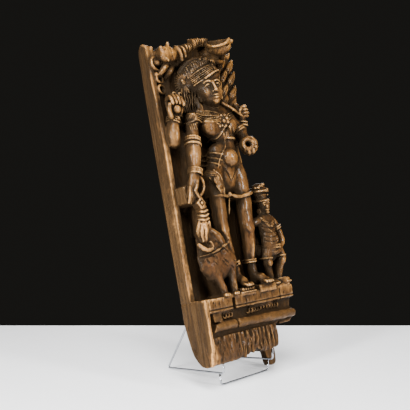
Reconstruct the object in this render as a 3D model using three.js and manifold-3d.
// A carved temple panel that leans on a bent wire easel.
// Every carving lies in the panel's own measure: u from its left edge to the
// right, v from its flat back towards the viewer, w up from its underside.
// Lengths are millimetres, and +Z is up once the panel leans back.

import * as THREE from 'three';
import { mergeVertices } from 'three/addons/utils/BufferGeometryUtils.js';
import Module from 'manifold-3d';

const wasm = await Module();
wasm.setup();

// Driving dimensions
const PANEL_WIDTH = 196;
const PANEL_DEPTH = 50;
const PLINTH_TOP = 94;
const BOARD_TOP = 478;
const BOARD_FRONT = 11;
const ROOT_DEPTH = 9;
const ROOT_SHIFT = 0.4;
const ROOT_SHARE = 0.6;
const CHEEK_THICK = 10;
const CHEEK_DEPTH = 20;
const BLOCK_RIGHT = 150;
const BLOCK_FRONT = 45;
const MOULD_FOOT = 37;
const LEAN = THREE.MathUtils.degToRad(14);
const WIRE = 3;
const GROUND = -27;
const PIN_CLEARANCE = 0.5;
const PIN_GRIP = 10;
const GAP = 0.3;
const SLIVER = 0.3;
const FINEST = 0.5;
const FACE_TURN = THREE.MathUtils.degToRad(17);

// Shape helpers
const at = (u, v, w) => new THREE.Vector3(u - PANEL_WIDTH / 2, -v, w);

function solid(geometry) {
  const bare = geometry.clone();
  bare.deleteAttribute('normal');
  bare.deleteAttribute('uv');
  const merged = mergeVertices(bare, 1e-3);
  const corners = Array.from(merged.index.array);
  const faces = [];
  for (let i = 0; i < corners.length; i += 3) {
    const [a, b, c] = corners.slice(i, i + 3);
    if (a !== b && b !== c && c !== a) faces.push(a, b, c);
  }
  return new wasm.Manifold(new wasm.Mesh({
    numProp: 3,
    tolerance: SLIVER,
    vertProperties: Float32Array.from(merged.attributes.position.array),
    triVerts: Uint32Array.from(faces),
  }));
}

function joined(solids) {
  return wasm.Manifold.union(solids.flat(Infinity));
}

function geometryOf(manifold) {
  const mesh = manifold.getMesh();
  const geometry = new THREE.BufferGeometry();
  geometry.setAttribute('position', new THREE.BufferAttribute(mesh.vertProperties, 3));
  geometry.setIndex(new THREE.BufferAttribute(mesh.triVerts, 1));
  geometry.computeVertexNormals();
  return geometry;
}

// A rounded limb through stations [u, v, w, half width, half depth]. Where it
// is rooted, its hidden side runs back to the board, undercut on the left.
function limb(stations, sides = 7, rings = stations.length + 1, rooted = false) {
  const fullness = 7;
  const path = new THREE.CatmullRomCurve3(stations.map((s) => at(s[0], s[1], s[2])));
  const girth = new THREE.CatmullRomCurve3(
    stations.map((s) => new THREE.Vector3(s[3], s[4] ?? s[3], 0)),
  );
  const geometry = new THREE.SphereGeometry(1, sides, rings);
  const position = geometry.attributes.position;
  for (let i = 0; i < position.count; i += 1) {
    const polar = Math.acos(THREE.MathUtils.clamp(position.getY(i), -1, 1));
    const along = polar / Math.PI;
    const angle = Math.atan2(position.getZ(i), position.getX(i));
    const end = Math.abs(2 * along - 1);
    const swell = end > 0.999 ? 0 : (1 - end ** fullness) ** (1 / 2);
    const tangent = path.getTangent(along);
    const outward = Math.abs(tangent.y) > 0.9 ? new THREE.Vector3(0, 0, 1) : new THREE.Vector3(0, -1, 0);
    const side = new THREE.Vector3().crossVectors(outward, tangent).normalize();
    const depth = new THREE.Vector3().crossVectors(tangent, side).normalize();
    const size = girth.getPoint(along);
    const point = path.getPoint(along)
      .addScaledVector(side, Math.cos(angle) * size.x * swell)
      .addScaledVector(depth, Math.sin(angle) * size.y * swell);
    const hidden = Math.min(1, -1.25 * Math.sin(angle));
    if (rooted && hidden > 0.1 && swell > 0) {
      const spine = path.getPoint(along).x + ROOT_SHIFT * size.x;
      point.x = THREE.MathUtils.lerp(point.x, spine + ROOT_SHARE * (point.x - spine), hidden);
      point.y = THREE.MathUtils.lerp(point.y, -ROOT_DEPTH, hidden);
    }
    position.setXYZ(i, point.x, point.y, point.z);
  }
  return solid(geometry);
}

function root(stations, sides, rings) {
  return limb(stations, sides, rings, true);
}

// An egg with its middle at u, v, w and its half sizes along them.
function egg([u, v, w], [a, b, c], sides = 8, rings = 5, turn = 0) {
  const geometry = new THREE.SphereGeometry(1, sides, rings);
  geometry.scale(a, c, b);
  geometry.rotateX(Math.PI / 2);
  geometry.rotateZ(turn);
  const middle = at(u, v, w);
  geometry.translate(middle.x, middle.y, middle.z);
  return solid(geometry);
}

// Turns a geometry's Z axis to a direction given as [u, v, w]
function facing(geometry, [fu, fv, fw], [u, v, w]) {
  const axis = new THREE.Vector3(fu, -fv, fw).normalize();
  const turn = new THREE.Quaternion().setFromUnitVectors(new THREE.Vector3(0, 0, 1), axis);
  geometry.applyQuaternion(turn);
  const middle = at(u, v, w);
  return solid(geometry.translate(middle.x, middle.y, middle.z));
}

// A bangle round a limb: a flat cushion that the limb passes through
function bangle(place, axis, radius, thick, sides = 9, squash = 1) {
  const geometry = new THREE.SphereGeometry(1, sides, 3);
  geometry.rotateX(Math.PI / 2);
  return facing(geometry.scale(radius, radius * squash, thick), axis, place);
}

// A ring with an open middle
function ring(place, axis, radius, thick, sides = 12, across = 6) {
  return facing(new THREE.TorusGeometry(radius, thick, across, sides), axis, place);
}

// A flat piece cut to an outline of [u, w] points, from back to front.
function frontSlab(outline, back, front) {
  const shape = new THREE.Shape(outline.map(([u, w]) => new THREE.Vector2(u - PANEL_WIDTH / 2, w)));
  const geometry = new THREE.ExtrudeGeometry(shape, { depth: front - back, bevelEnabled: false });
  geometry.translate(0, 0, back);
  geometry.rotateX(Math.PI / 2);
  return solid(geometry);
}

// A moulding cut to a section of [v, w] points, from left to right.
function sideSlab(section, left, right) {
  const shape = new THREE.Shape(section.map(([v, w]) => new THREE.Vector2(-v, w)));
  const geometry = new THREE.ExtrudeGeometry(shape, { depth: right - left, bevelEnabled: false });
  geometry.translate(0, 0, left - PANEL_WIDTH / 2);
  const basis = new THREE.Matrix4().makeBasis(
    new THREE.Vector3(0, 1, 0),
    new THREE.Vector3(0, 0, 1),
    new THREE.Vector3(1, 0, 0),
  );
  geometry.applyMatrix4(basis);
  return solid(geometry);
}

function box(left, right, back, front, low, high) {
  return frontSlab([[left, low], [right, low], [right, high], [left, high]], back, front);
}

function smooth(points, count) {
  const curve = new THREE.SplineCurve(points.map(([a, b]) => new THREE.Vector2(a, b)));
  return curve.getPoints(count).map((p) => [p.x, p.y]);
}

// The board, with flame leaves cut along its upper right edge
function board() {
  const leafTips = [[184, 411], [189, 430], [192, 456], [192, 474], [195, 494]];
  const leafEdge = leafTips.flatMap(([u, w]) => [[u - 8, w - 17], [u - 1, w - 6], [u, w]]);
  const outline = [
    [2, 60], [188, 60], [190, 120], [190, 180], [186, 230], [180, 262], [174, 300], [173, 330],
    [175, 370],
    ...leafEdge,
    [188, 487], [168, 489], [140, 480], [110, 478], [80, 474], [40, 470], [CHEEK_THICK - 2, BOARD_TOP],
    [2, BOARD_TOP],
  ];
  return frontSlab(outline, 0, BOARD_FRONT);
}

function leafBorder() {
  return [[182, 407], [187, 427], [190, 452], [190, 472]].flatMap(([u, w]) => [
    root([[u - 17, 10, w - 20, 3, 3], [u - 9, 15, w - 8, 6.6, 5], [u + 3, 13, w + 7, 1.2, 2]], 5, 3),
    root([[u - 36, 10, w - 17, 3, 3], [u - 28, 16, w - 5, 6.6, 5], [u - 16, 13, w + 10, 1.2, 2]], 5, 3),
  ]);
}

// The left cheek: a plain wall whose top is worn round
function cheek() {
  const section = [
    [0, 60], [CHEEK_DEPTH, 60], [CHEEK_DEPTH, 160], [CHEEK_DEPTH + 2, 220], [CHEEK_DEPTH + 2, 320],
    [CHEEK_DEPTH, 390], [18, 430],
    ...smooth([[18, 462], [17.5, 474], [15, 480], [6, 484], [-1.6, 474]], 8),
    [-3, 300],
  ];
  return sideSlab(section, 0, CHEEK_THICK);
}

// The plinth: a plain fascia, a hollow with a carved strip, and a roll
function plinth() {
  const profile = [
    [0, PLINTH_TOP], [PANEL_DEPTH, PLINTH_TOP], [PANEL_DEPTH, 79], [PANEL_DEPTH + 1, 77],
    [PANEL_DEPTH + 1, 75], [47.5, 73.6], [44.5, 72.4], [43.4, 66], [43, 60], [42.6, MOULD_FOOT],
    [0, MOULD_FOOT],
  ];
  const moulding = sideSlab(profile, 4, PANEL_WIDTH);
  const returnCut = frontSlab([
    [PANEL_WIDTH + 4, 74], [PANEL_WIDTH - 2, 74], [PANEL_WIDTH - 6, 68], [PANEL_WIDTH - 8, 60],
    [PANEL_WIDTH - 3, 57], [PANEL_WIDTH - 2, 48], [PANEL_WIDTH - 6, 42], [PANEL_WIDTH - 12, 35],
    [PANEL_WIDTH + 4, 35],
  ], -5, PANEL_DEPTH + 5);
  const roll = limb([[8, 43, 49, 4, 5], [18, 45, 53, 5.6, 6.6], [60, 45.6, 53.4, 6.6, 7],
    [150, 45.6, 51, 6.6, 7], [192, 44, 50, 6, 6.4]], 7, 6);
  const leftEnd = sideSlab(lowerEnd(), 0, 7);
  return [moulding.subtract(returnCut), roll, leftEnd];
}

// The sawn left end runs on down, with its lower back corner worn off
function lowerEnd() {
  return [
    [0, PLINTH_TOP + 2], [PANEL_DEPTH, PLINTH_TOP], [PANEL_DEPTH, 24], [47, 0],
    ...smooth([[26, 0], [17, 5], [9, 16], [3, 36], [0, 62]], 6),
  ];
}

function lowerBlock() {
  const section = [
    [0, MOULD_FOOT + 2], [BLOCK_FRONT, MOULD_FOOT + 2], [BLOCK_FRONT + 1, 20], [BLOCK_FRONT, 3],
    [24, 1], [14, 8], [6, 20],
  ];
  const block = sideSlab(section, 5, BLOCK_RIGHT);
  const chip = frontSlab([[60, -4], [74, 4], [88, 5], [100, 9], [112, 3], [126, 4], [BLOCK_RIGHT + 2, 7],
    [BLOCK_RIGHT + 2, -4]], -2, PANEL_DEPTH + 4);
  const rightBreak = frontSlab([[BLOCK_RIGHT + 5, 40], [BLOCK_RIGHT, 36], [BLOCK_RIGHT - 4, 4],
    [BLOCK_RIGHT + 5, 0]], -2, PANEL_DEPTH + 4);
  const gouges = [];
  for (let i = 0; i < 4; i += 1) {
    const u = 98 + 10 * i;
    gouges.push(limb([[u - 3, BLOCK_FRONT + 1, 12, 1, 2], [u, BLOCK_FRONT + 1, 21, 2.4, 3],
      [u + 1, BLOCK_FRONT + 1, 31, 1, 2]], 5, 3));
  }
  return joined([block]).subtract(chip).subtract(rightBreak).subtract(joined(gouges));
}

function tenon() {
  const outline = [[140, 45], [137, 8], [147, -4], [150, -22], [156, -25.4], [166, -25], [169, -20],
    [170, 45]];
  return frontSlab(outline, 1, 13);
}

// Carved strips stand in the hollow on both sides of a dark break
function plinthCarving() {
  const ribs = [];
  const pitch = 8;
  for (const [from, to] of [[14, 30], [34, 54], [84, 158]]) {
    const count = Math.round((to - from) / pitch);
    for (let i = 0; i < count; i += 1) {
      const u = from + (i + 0.5) * pitch;
      ribs.push(frontSlab([[u - 3, 61], [u - 0.5, 60], [u + 3, 74], [u + 0.5, 74]], 38, 46.5));
    }
  }
  return ribs;
}

function plinthCuts() {
  return [
    frontSlab([[54, 58], [56, 97], [62, 97], [65, 72], [61, 58]], 41, PANEL_DEPTH + 4),
    frontSlab([[5, 60], [6, 97], [7.4, 97], [7.2, 60]], 38, PANEL_DEPTH + 4),
    frontSlab([[163, 76], [163.8, 97], [165, 97], [164.6, 76]], 44, PANEL_DEPTH + 4),
    sideSlab([[-5, 91.6], [-5, 93.4], [30, 93.4], [30, 91.6]], -4, 1),
  ];
}

// The canopy: leaves and ribs over the head, with a scroll that curls forward
function canopy() {
  const hood = [
    ...smooth([[7, 462], [14, 472], [24, 478], [38, 476], [60, 473], [80, 484], [92, 491],
      [104, 494], [118, 494], [126, 484], [140, 484]], 11),
    [166, 480], [160, 464], [124, 466], [100, 470], [84, 464], [66, 454], [52, 450], [30, 448],
    [7, 450],
  ];
  const parts = [
    frontSlab(hood, 4, 24),
    egg([34, 25, 464], [16.5, 11, 13], 8, 4),
    egg([24, 28, 460], [9, 7, 9], 6, 3),
    limb([[25, 24, 468, 5, 5], [26, 27, 484, 2, 3]], 4, 3),
    limb([[36, 24, 468, 5, 5], [36, 27, 483, 2, 3]], 4, 3),
    limb([[43, 24, 466, 5, 5], [48, 26, 478, 2, 3]], 4, 3),
  ];
  for (let i = 0; i < 4; i += 1) {
    const u = 53 + 9 * i;
    const w = 479 + 2.4 * i;
    parts.push(root([[u - 1, 24, w, 3.2, 4], [u + 1, 31, w - 7, 3.6, 5], [u + 3, 29, w - 16, 2.8, 4]], 4, 3));
  }
  for (let i = 0; i < 3; i += 1) {
    const u = 91 + 10 * i;
    const crest = 495 + 2 * i;
    parts.push(root([[u - 1, 24, crest, 3.4, 3], [u, 33, crest - 7, 4, 5],
      [u + 1, 30, crest - 15, 3, 4]], 4, 3));
  }
  return parts.concat(scroll());
}

// A leaf that rolls forward like a wave, hollow towards the left
function scroll() {
  const middle = [127, 47, 482];
  const turn = -Math.PI / 4;
  const bowl = egg(middle, [20.5, 15, 15.5], 9, 6, turn)
    .subtract(egg([122, 52, 491], [17, 15, 13.6], 8, 5, turn))
    .subtract(frontSlab([[90, 496], [140, 497.4], [170, 496], [170, 520], [90, 520]], -4, 70));
  return [
    bowl,
    limb([[113, 38, 486, 2.4, 2.4], [117, 52, 480, 2.6, 2.6], [128, 59, 477, 2.8, 2.8],
      [139, 57, 481, 2.6, 2.6], [148, 52, 492, 3.6, 3.6]], 4, 6),
    root([[118, 22, 472, 12, 12], [124, 32, 475, 13, 12], [130, 40, 480, 12, 12]], 6, 3),
    limb([[150, 20, 476, 10, 12], [146, 34, 483, 9, 10], [146, 46, 486, 6, 7], [151, 53, 492.5, 4, 4]], 6, 5),
    limb([[100, 20, 460, 5, 6], [120, 34, 460, 4, 6], [140, 33, 462, 4, 6], [158, 20, 470, 4, 6]], 4, 4),
  ];
}

// Relief on the board beside the head: a looped emblem and a blade
function emblems() {
  const parts = [
    ring([17, 14, 428], [0.2, 1, 0], 7, 3.2, 7, 4),
    ring([18, 14, 412], [0.2, 1, 0], 8, 3.2, 7, 4),
    root([[14, 14, 430, 3, 4], [20, 21, 439, 4.6, 4], [28, 24, 448, 5, 4], [35, 24, 455, 3, 3]], 5, 4),
    root([[8, 14, 442, 6, 6], [13, 19, 451, 8, 6], [18, 20, 458, 6, 5]], 6, 4),
    root([[32, 13, 433, 4, 5], [39, 19, 443, 5.4, 6], [46, 19, 451, 4, 5]], 5, 4),
  ];
  return parts;
}

// The standing figure, from the feet up. A narrower web of wood ties each
// limb to the board behind it.
function leg(stations, ankle, girth, heel, toe) {
  const [u, v, w] = heel;
  return [
    root(stations, 7, 9),
    bangle(ankle, [0, 0, 1], girth, 3, 8),
    limb([[u, v - 8, w - 2, 7, 7], [u, v, w, 8, 8], [toe[0] - 1, toe[1] - 9, toe[2] + 1, 9, 4.4],
      [...toe, 8, 2.8]], 6, 4),
  ];
}

function legs() {
  return [
    leg(
      [[96, 28, 296, 15, 14], [84, 31, 280, 16, 14], [75, 34, 240, 14, 14], [71, 36, 208, 13.4, 13.4],
        [70, 37, 190, 12.2, 12.8], [78, 34, 163, 10.2, 11], [88, 32, 142, 7.4, 8], [93, 32, 106, 7, 7]],
      [89.4, 32, 138], 10.4, [92, 33, 112], [94, 55, 106],
    ),
    leg(
      [[130, 27, 298, 14, 14], [136, 28, 278, 16, 15], [134, 32, 242, 15.2, 15], [128, 35, 206, 13.6, 14],
        [127, 35, 184, 13, 13.4], [128, 32, 160, 11.4, 12], [128, 30, 142, 8.8, 9.4],
        [130, 31, 106, 8.4, 8]],
      [128.4, 30, 138], 11.6, [131, 31, 113], [139, 54, 105],
    ),
  ];
}

function pedestals() {
  return [box(76, 108, 10, 51, 90, 100), box(118, 156, 10, 52, 90, 101)];
}

function torso() {
  return [
    root([[112, 25, 266, 24, 15], [110, 27, 280, 30, 16], [109, 28, 296, 33, 16], [112, 31, 311, 26, 14.6],
      [120, 32, 323, 14.4, 12], [117, 32, 337, 18, 13.4], [108, 29, 356, 36, 18], [106, 28, 374, 42, 14],
      [106, 29, 386, 24, 12]], 9, 10),
    egg([111.5, 42, 301], [13.4, 12.6, 13.6], 8, 5),
    egg([125, 42, 353], [14, 12.4, 14], 7, 4),
    egg([85, 39, 350], [17, 12.4, 15], 7, 4),
    root([[107, 26, 368, 14, 12], [105, 28, 384, 12, 12], [101, 30, 404, 12.4, 12]], 7, 4),
  ];
}

function necklaces() {
  return [
    limb([[66, 35, 370, 3.4, 4], [84, 41, 367, 3.4, 4], [102, 45, 362, 3.4, 4], [122, 46, 367, 3.4, 4],
      [139, 35, 376, 3.4, 4]], 4, 5),
    egg([103, 46, 360], [9, 8, 11], 7, 4),
    limb([[101, 44, 350, 2, 3], [101, 42, 338, 2, 3], [105, 41, 326, 2, 3],
      [95, 43, 307, 2, 3], [84, 42, 287, 2, 3]], 4, 5),
    bangle([119.6, 32, 331.6], [0, 0, 1], 18.4, 2.4, 10, 0.84),
  ];
}

function hipCloth() {
  return [
    egg([70, 37, 273], [13, 12, 11.5], 7, 5),
    limb([[72, 44, 278, 5, 4], [72, 47, 266, 8.4, 3.6], [75, 48, 254, 6, 3.2], [79, 47, 242, 2, 2]], 6, 5),
    bangle([77, 34, 241], [0.1, 0, 1], 17.4, 3, 10),
    bangle([134, 32.5, 242], [-0.2, 0, 1], 18.6, 3.6, 10),
    limb([[86, 45, 241.5, 2.2, 2.2], [108, 46, 240, 2.8, 2.8], [124, 44, 239, 3, 3]], 5, 3),
    limb([[93, 45, 243, 2.4, 2.4], [93.5, 42, 230, 1.4, 1.4], [94.5, 37, 213, 1.2, 1.2]], 4, 4),
  ];
}

function fingers(places, reach, girth) {
  const [du, dv, dw] = reach;
  return places.map(([u, v, w]) => {
    return limb([[u, v, w, girth, girth], [u + du, v + dv, w + dw, girth * 0.8, girth * 0.8]], 4, 3);
  });
}

function frontArmLeft() {
  return [
    limb([[78, 27, 371, 12, 11], [61, 29, 364, 12, 11], [48, 35, 346, 9.6, 9.6], [42, 39.6, 330, 9.2, 9.4],
      [37, 42, 309, 11.2, 11], [32, 43, 289, 9.4, 9.4], [28, 44, 273, 8.4, 7], [24, 45, 264, 10, 6.6],
      [18.6, 44, 252, 8.8, 6], [12, 42, 234, 6, 4]], 6, 11),
    root([[78, 24, 371, 11, 10], [62, 25, 364, 10, 9], [56, 26, 352, 6, 8]], 6, 4),
    egg([54, 36, 364], [12.4, 9.4, 8.4], 6, 4),
    bangle([40.8, 40, 326], [0.25, -0.12, 1], 12.8, 6.4, 7),
    bangle([31.6, 43.4, 279], [0.25, -0.1, 1], 11.8, 4.6, 7),
    limb([[33, 46, 274, 2.8, 3], [37.8, 49.6, 259, 2.6, 2.8], [34, 49.6, 248, 2.4, 2.6],
      [26, 49, 242, 2.6, 2.6]], 5, 5),
  ];
}

// The rough bridge of wood left between the cheek and the lowered hand
function strut() {
  return frontSlab([[7, 235], [16, 231], [25, 231], [25, 256], [18, 263], [7, 258]], BOARD_FRONT - 2, 41);
}

function backArmLeft() {
  return [
    limb([[17, 26, 326, 9, 9], [16.4, 27, 336, 10.4, 10.6], [17.4, 27.4, 347, 10, 10],
      [22, 27.4, 366, 8, 7.6], [23, 28, 378, 12.6, 7.8], [26, 24, 395, 11, 6]], 7, 7),
    root([[20, 18, 330, 5, 7], [22, 20, 350, 6, 8], [27, 20, 376, 7, 8], [34, 18, 400, 6, 6]], 6, 5),
    bangle([20.6, 27.4, 361], [0.3, 0.02, 1], 11, 5, 8),
    egg([19, 39.6, 375], [6.8, 6.2, 6.4], 6, 4),
    fingers([[15, 27, 385], [23, 27, 388], [31, 26, 387]], [-2, 14, 0], 4.6),
    limb([[15, 31, 362, 4, 4], [6, 39, 372, 3.4, 3.4], [5.6, 42, 381, 2.7, 2.7]], 5, 3),
  ];
}

function backArmRight() {
  return [
    root([[140, 25, 372, 11, 11], [154, 26, 362, 10, 10], [163, 28, 346, 8, 9],
      [164, 28, 332, 7, 8]], 7, 5),
    root([[165, 31, 344, 7, 7], [166, 33, 362, 6.6, 7], [168, 32, 378, 9, 7], [163, 28, 392, 6, 6]], 6, 5),
    bangle([167, 33, 361], [0.1, 0, 1], 9, 3.4, 8),
    fingers([[162, 34, 374], [162, 34, 381], [161, 32, 388]], [12, 4, 1], 3.8),
  ];
}

function frontArmRight() {
  return [
    limb([[142, 28, 368, 12, 10], [152, 33, 352, 9.4, 9.4], [156.4, 39, 336, 8.8, 8.8],
      [154, 47, 326, 8, 8], [152, 53, 322, 7.4, 7.4]], 7, 6),
    root([[138, 20, 360, 7, 8], [152, 22, 342, 6, 9], [156, 24, 332, 5, 8]], 5, 4),
    bangle([152.4, 34, 348.6], [0.36, 0.3, -0.9], 11.8, 4.4, 8),
    ring([151.5, 58.5, 319], [-0.62, 0.78, 0.1], 10.2, 5.2, 10, 6),
  ];
}

// The head has a calm, evenly proportioned face of plain design
const HEAD = [97, 36, 411];
const FACE_SIZE = 1.13;

function onFace(across, forward, up) {
  const c = Math.cos(FACE_TURN);
  const s = Math.sin(FACE_TURN);
  const [a, f, z] = [across, forward, up].map((size) => size * FACE_SIZE);
  return [HEAD[0] + a * c - f * s, HEAD[1] + a * s + f * c, HEAD[2] + z];
}

function face() {
  const scaled = (sizes) => sizes.map((size) => size * FACE_SIZE);
  const eyes = [-1, 1].map((side) => {
    return egg(onFace(side * 7, 13.8, 1), scaled([4.8, 4, 3.2]), 6, 3, FACE_TURN);
  });
  return [
    egg(HEAD, scaled([17.4, 18.6, 24]), 10, 8, FACE_TURN),
    egg(onFace(0, 8.4, -13), scaled([11.4, 9.4, 10]), 7, 5, FACE_TURN),
    limb([[...onFace(0, 16.6, 9), 2.4, 2], [...onFace(0, 20, 0), 3, 3], [...onFace(0, 18, -5), 4, 3]], 5, 4),
    limb([[...onFace(-6, 15, -13), 2.4, 2.4], [...onFace(0, 18, -13), 2.6, 2.8],
      [...onFace(6, 15, -13), 2.4, 2.4]], 5, 3),
    eyes,
  ];
}

// Piled hair under a ribbed band, with a fluted rosette at the side
function hair() {
  const parts = [egg([92, 22, 434], [40, 27, 32], 11, 7)];
  for (let i = 0; i < 2; i += 1) {
    parts.push(bangle([97 - i, 28, 431 + 9 * i], [-0.3, -0.3, 1], 36 - 2 * i, 6, 11));
  }
  for (let i = 0; i < 2; i += 1) {
    const u = 50 + 13 * i;
    parts.push(root([[u, 30, 409, 6, 6], [u, 33, 396, 6, 6], [u + 2, 34, 381, 5, 6]], 5, 3));
  }
  parts.push(root([[119, 24, 424, 6, 7], [124, 24, 404, 5, 7], [128, 24, 382, 4, 6]], 5, 3));
  return parts.concat(rosette([47, 30, 418]));
}

function rosette([u, v, w]) {
  const parts = [egg([u + 1, v, w], [8, 9, 12], 7, 4, 0.7)];
  const petals = 4;
  for (let i = 0; i < petals; i += 1) {
    const turn = (2 * Math.PI * i) / petals;
    const place = [u - 1 + 4.6 * Math.cos(turn), v + 5.6 * Math.cos(turn), w + 8.4 * Math.sin(turn)];
    parts.push(egg(place, [3.6, 3.6, 3.6], 5, 3));
  }
  return parts;
}

// The rearing animal at the lower left, its neck stretched to the hand
function animal() {
  const parts = [
    root([[33, 34, 190, 15, 10], [41, 34, 174, 23, 14], [50, 35, 154, 29, 16], [56, 35, 140, 27, 14],
      [60, 35, 131, 22, 12]], 8, 6),
    limb([[29, 44, 240, 4, 4], [30.6, 46, 224, 7.6, 6.4], [29.4, 45.4, 208, 10, 7.4],
      [25, 44, 192, 11, 8], [23, 44, 178, 7, 6]], 6, 6),
    root([[35, 32, 230, 4, 6], [34, 30, 212, 5, 7], [32, 30, 190, 7, 8]], 5, 4),
    frontSlab([[17.5, 232], [25.4, 221], [34.6, 231], [27, 242]], 40, 52.4),
    limb([[20, 40, 168, 5, 6], [27, 48, 161, 4.6, 6], [36, 48, 166, 4.4, 6], [38, 45, 177, 4, 6]], 5, 4),
    egg([66, 38, 146], [19, 15, 16], 8, 5),
    root([[40, 34, 146, 11, 12], [41, 38, 132, 8, 9], [44, 43, 114, 6, 7], [48, 45, 92, 6.4, 6]], 6, 4),
    root([[72, 34, 146, 12, 12], [73, 38, 131, 9, 10], [69, 43, 113, 6, 7], [67, 46, 92, 6.4, 6]], 6, 4),
    box(44, 74, 8, 50, 90, 97),
  ];
  for (let i = 0; i < 2; i += 1) {
    parts.push(bangle([29.6, 45, 219 - 10 * i], [0.05, 0, 1], 10.4, 3, 6, 0.84));
  }
  return parts;
}

// The stout attendant at the lower right, with a bowl on the head
function attendant() {
  return [
    root([[173, 36, 255, 12, 11], [173, 36, 248, 15, 14], [173, 36, 241, 10, 10], [173, 37, 234, 11, 12],
      [172, 37, 224, 10.6, 12], [173, 37, 212, 8, 10], [175, 36, 202, 15, 11], [176, 38, 192, 16, 12],
      [175, 39, 180, 13, 12], [173, 41, 166, 14, 14], [174, 38, 152, 14, 13], [174, 36, 142, 12, 10]],
    6, 12),
    egg([170.5, 47, 219], [3, 4.4, 4], 5, 3),
    egg([161, 38, 217], [4, 5, 5], 5, 3),
    root([[172, 38, 203, 7, 8], [158, 39, 200, 6.6, 8], [145, 36, 198, 6, 8]], 6, 3),
    limb([[182, 37, 203, 8, 7], [194, 41, 188, 6, 6], [198, 43, 168, 5, 5], [190, 44, 156, 5, 5],
      [176, 42, 154, 5, 5]], 5, 7),
    bangle([173, 39, 156], [0, 0, 1], 17, 4, 8),
    root([[168, 38, 158, 8, 10], [160, 40, 138, 7, 9], [161, 38, 124, 6, 8], [162, 38, 92, 5.6, 8]], 6, 5),
    root([[184, 38, 158, 8, 10], [189, 42, 138, 7, 8], [182, 40, 124, 6, 8], [177, 40, 92, 5.6, 8]], 6, 5),
    limb([[176, 36, 102, 7, 6], [187, 52, 98, 6, 4]], 5, 3),
    limb([[162, 36, 102, 7, 6], [161, 51, 98, 6, 4]], 5, 3),
    box(154, 192, 8, 49, 90, 98),
  ];
}

// The easel is one bent wire with a welded front foot, and its two pins
// enter holes in the panel's underside
const PIN_PLACES = [[38, 29], [143, 33]];
const PIN_SETBACK = 4;
const PIN_DROP = 14;
const REAR_CORNERS = [[42, 96.5], [139, 92]];
const BACKREST = [[46, 103], [135, 103]];
const FOOT_Y = -22;
const WIRE_SIDES = 8;
const WIRE_BEND = 5;

function leaned(point) {
  return point.applyAxisAngle(new THREE.Vector3(1, 0, 0), -LEAN);
}

// A hole along the slightly raked pin that it takes
function drilled([u, v]) {
  const radius = WIRE / 2 + PIN_CLEARANCE;
  const depth = 2 * (PIN_GRIP + 1);
  const hole = new THREE.CylinderGeometry(radius, radius, depth, WIRE_SIDES);
  hole.rotateX(Math.PI / 2);
  const slope = PIN_SETBACK / (PIN_GRIP + PIN_DROP);
  return facing(hole, [0, slope, 1], [u, v - slope * PIN_GRIP, 0]);
}

// Rounds every inner corner of a wire's route with a small bend
function bentRoute(corners) {
  const stops = [corners[0]];
  for (let i = 1; i < corners.length - 1; i += 1) {
    const before = corners[i - 1].clone().sub(corners[i]).setLength(WIRE_BEND).add(corners[i]);
    const after = corners[i + 1].clone().sub(corners[i]).setLength(WIRE_BEND).add(corners[i]);
    stops.push(...new THREE.QuadraticBezierCurve3(before, corners[i], after).getPoints(3));
  }
  return [...stops, corners.at(-1)];
}

function wire(stops) {
  const radius = WIRE / 2 / Math.cos(Math.PI / WIRE_SIDES);
  const geometry = new THREE.CylinderGeometry(1, 1, 1, WIRE_SIDES, stops.length - 1);
  const along = stops.map((stop, i) => {
    const next = stops[Math.min(i + 1, stops.length - 1)];
    return next.clone().sub(stops[Math.max(i - 1, 0)]).normalize();
  });
  const across = [];
  for (let i = 0; i < stops.length; i += 1) {
    const last = i > 0 ? across[i - 1] : new THREE.Vector3(1, 0, 0);
    across.push(last.clone().addScaledVector(along[i], -last.dot(along[i])).normalize());
  }
  const position = geometry.attributes.position;
  for (let i = 0; i < position.count; i += 1) {
    const stop = Math.round((0.5 - position.getY(i)) * (stops.length - 1));
    const third = new THREE.Vector3().crossVectors(along[stop], across[stop]);
    const point = stops[stop].clone()
      .addScaledVector(across[stop], position.getX(i) * radius)
      .addScaledVector(third, position.getZ(i) * radius);
    position.setXYZ(i, point.x, point.y, point.z);
  }
  return solid(geometry);
}

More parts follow.
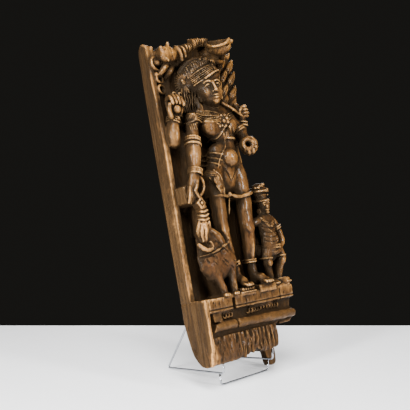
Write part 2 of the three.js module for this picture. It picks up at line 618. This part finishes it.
function easel() {
  const inFrame = ([x, y], z) => new THREE.Vector3(x - PANEL_WIDTH / 2, y, z);
  const low = GROUND + WIRE / 2;
  const [pinLeft, pinRight] = PIN_PLACES.map(([u, v]) => leaned(at(u, v, PIN_GRIP)));
  const [bendLeft, bendRight] = PIN_PLACES.map(([u, v]) => leaned(at(u, v - PIN_SETBACK, -PIN_DROP)));
  const [cornerLeft, cornerRight] = REAR_CORNERS.map((corner) => inFrame(corner, low));
  const [topLeft, topRight] = BACKREST.map(([u, w]) => leaned(at(u, -WIRE / 2 - GAP, w)));
  const frame = wire(bentRoute([
    pinLeft, bendLeft, cornerLeft, topLeft, topRight, cornerRight, bendRight, pinRight,
  ]));
  const legTops = [[bendLeft, cornerLeft], [bendRight, cornerRight]].map(([front, rear]) => {
    return front.clone().lerp(rear, 0.07);
  });
  const feet = legTops.map((top) => new THREE.Vector3(top.x, FOOT_Y, low));
  const foot = wire(bentRoute([legTops[0], feet[0], feet[1], legTops[1]]));
  return frame.add(foot);
}

function panel() {
  const carved = joined([
    board(), leafBorder(), cheek(), plinth(), plinthCarving(), lowerBlock(), tenon(), pedestals(),
    canopy(), emblems(), legs(), torso(), necklaces(), hipCloth(),
    frontArmLeft(), strut(), backArmLeft(), backArmRight(), frontArmRight(), face(), hair(),
    animal(), attendant(),
  ]);
  return carved.subtract(joined([...plinthCuts(), ...PIN_PLACES.map(drilled)])).simplify(FINEST);
}

const wood = new THREE.MeshStandardMaterial({ color: 0x6b4226, roughness: 0.5, metalness: 0 });
const chrome = new THREE.MeshStandardMaterial({ color: 0xd4d7da, roughness: 0.12, metalness: 1 });

const carvedPanel = new THREE.Mesh(geometryOf(panel()), wood);
carvedPanel.name = 'carved_panel';
carvedPanel.rotation.x = -LEAN;

const wireEasel = new THREE.Mesh(geometryOf(easel()), chrome);
wireEasel.name = 'wire_easel';

const figurePanel = new THREE.Group();
figurePanel.add(carvedPanel, wireEasel);
const bounds = new THREE.Box3().setFromObject(figurePanel, true);
const middle = bounds.getCenter(new THREE.Vector3());
figurePanel.position.set(-middle.x, -middle.y, -bounds.min.z);

export default figurePanel;
